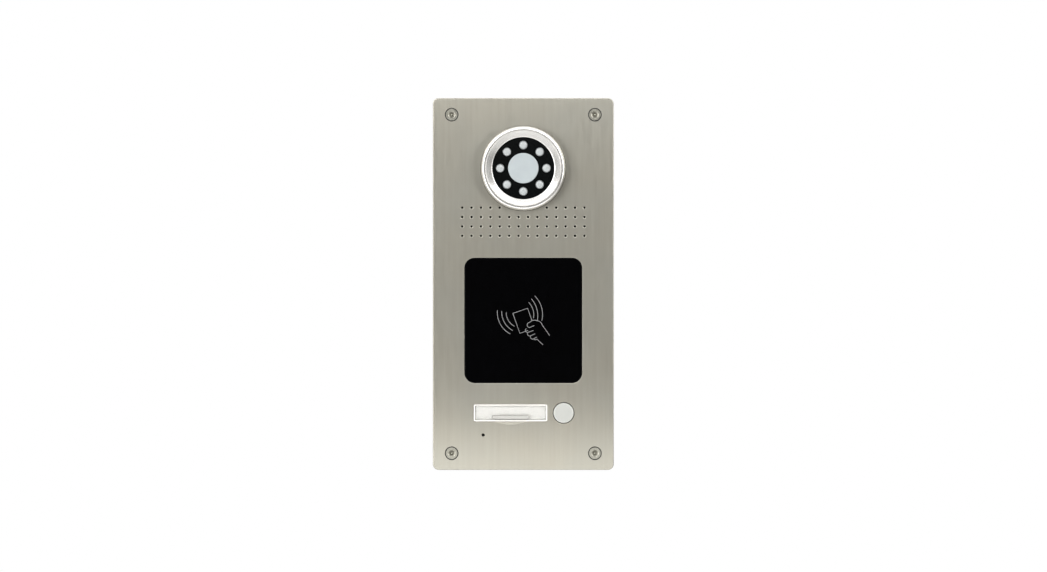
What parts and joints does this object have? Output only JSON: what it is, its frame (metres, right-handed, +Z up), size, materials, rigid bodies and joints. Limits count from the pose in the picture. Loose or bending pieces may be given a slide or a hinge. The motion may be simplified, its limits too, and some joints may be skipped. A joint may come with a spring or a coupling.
{
  "type": "door intercom panel",
  "caption": "Flush door station: brushed steel plate with camera, night lights, loudspeaker grille, card reader, name window and call button, on a wall box.",
  "frame": {"origin": "centre of the front plate, projected onto the wall's surface", "axes": "+Z up, +Y into the wall, +X to the visitor's right; the visitor stands on the -Y side"},
  "size_m": [0.125, 0.055, 0.257],
  "materials": {
    "stainless": "vertically brushed, satin",
    "screw_steel": "turned, satin",
    "turned_aluminium": "turned, bright",
    "button_metal": "satin",
    "spring_steel": "drawn wire",
    "galvanised": "galvanised sheet with spangle",
    "copper": "etched copper",
    "black_mask": "satin black",
    "black_gloss": "high gloss acrylic",
    "window_glass": "semi-mirrored",
    "led_lens": "diffused epoxy",
    "white_plastic": "moulded, satin",
    "clear_plastic": "clear moulded",
    "paper": "matt card",
    "black_plastic": "moulded, fine grain",
    "green_terminal": "moulded",
    "circuit_board": "solder mask",
    "ferrite": "sintered",
    "foam": "closed-cell foam",
    "rubber": "moulded",
    "cone_paper": "pressed paper",
    "mesh_cloth": "woven"
  },
  "bodies": {
    "panel": {"front_plate": "stainless", "panel_gasket": "foam", "camera_bezel": "turned_aluminium", "bezel_nut": "turned_aluminium", "camera_mask": "black_mask", "camera_window": "window_glass", "led_spacer": "black_plastic", "led_board": "circuit_board", "camera_bracket": "black_plastic", "dust_mesh": "mesh_cloth", "speaker_gasket": "foam", "speaker_frame": "black_plastic", "speaker_cone": "cone_paper", "speaker_magnet": "ferrite", "card_window": "black_gloss", "antenna_coil": "copper", "antenna_board": "circuit_board", "name_frame": "white_plastic", "name_card": "paper", "name_light_guide": "white_plastic", "button_collar": "black_plastic", "switch_body": "black_plastic", "key_board": "circuit_board", "mic_boot": "rubber", "mic_capsule": "turned_aluminium", "main_board": "circuit_board", "bus_terminal": "green_terminal", "lock_terminal": "green_terminal", "volume_trimmer": "black_plastic", "rear_case": "black_plastic", "flush_box": "galvanised", "cable_grommet": "rubber", "panel_screw_1": "screw_steel", "case_screw_1": "screw_steel", "nut_bracket_1": "galvanised", "panel_screw_2": "screw_steel", "case_screw_2": "screw_steel", "nut_bracket_2": "galvanised", "panel_screw_3": "screw_steel", "case_screw_3": "screw_steel", "nut_bracket_3": "galvanised", "panel_screw_4": "screw_steel", "case_screw_4": "screw_steel", "nut_bracket_4": "galvanised", "night_led_1": "led_lens", "night_led_2": "led_lens", "night_led_3": "led_lens", "night_led_4": "led_lens", "night_led_5": "led_lens", "night_led_6": "led_lens", "night_led_7": "led_lens", "night_led_8": "led_lens"},
    "call_button": {"call_button": "button_metal", "switch_plunger": "white_plastic", "button_spring": "spring_steel"},
    "name_cover": {"name_cover": "clear_plastic"},
    "camera_head": {"lens_barrel": "black_plastic", "lens_holder": "black_plastic", "sensor_board": "circuit_board"},
    "trimmer_rotor": {"trimmer_rotor": "white_plastic"}
  },
  "joints": [
    {"name": "button_press", "type": "slide", "parent": "panel", "child": "call_button", "axis": [0, 1, 0], "range_m": [0, 0.0012], "stiffness_N_per_m": 800, "springref_m": -0.001, "deforming": ["button_spring"]},
    {"name": "cover_swing", "type": "hinge", "parent": "panel", "child": "name_cover", "pos_m": [-0.0088, -0.0031, -0.08515], "axis": [-1, 0, 0], "range_deg": [0, 85]},
    {"name": "camera_tilt", "type": "hinge", "parent": "panel", "child": "camera_head", "pos_m": [0, 0.012, 0.08], "axis": [1, 0, 0], "range_deg": [-10, 10]},
    {"name": "trimmer_turn", "type": "hinge", "parent": "panel", "child": "trimmer_rotor", "pos_m": [0.02, 0.028, -0.028], "axis": [0, 1, 0], "range_deg": [-135, 135]}
  ]
}
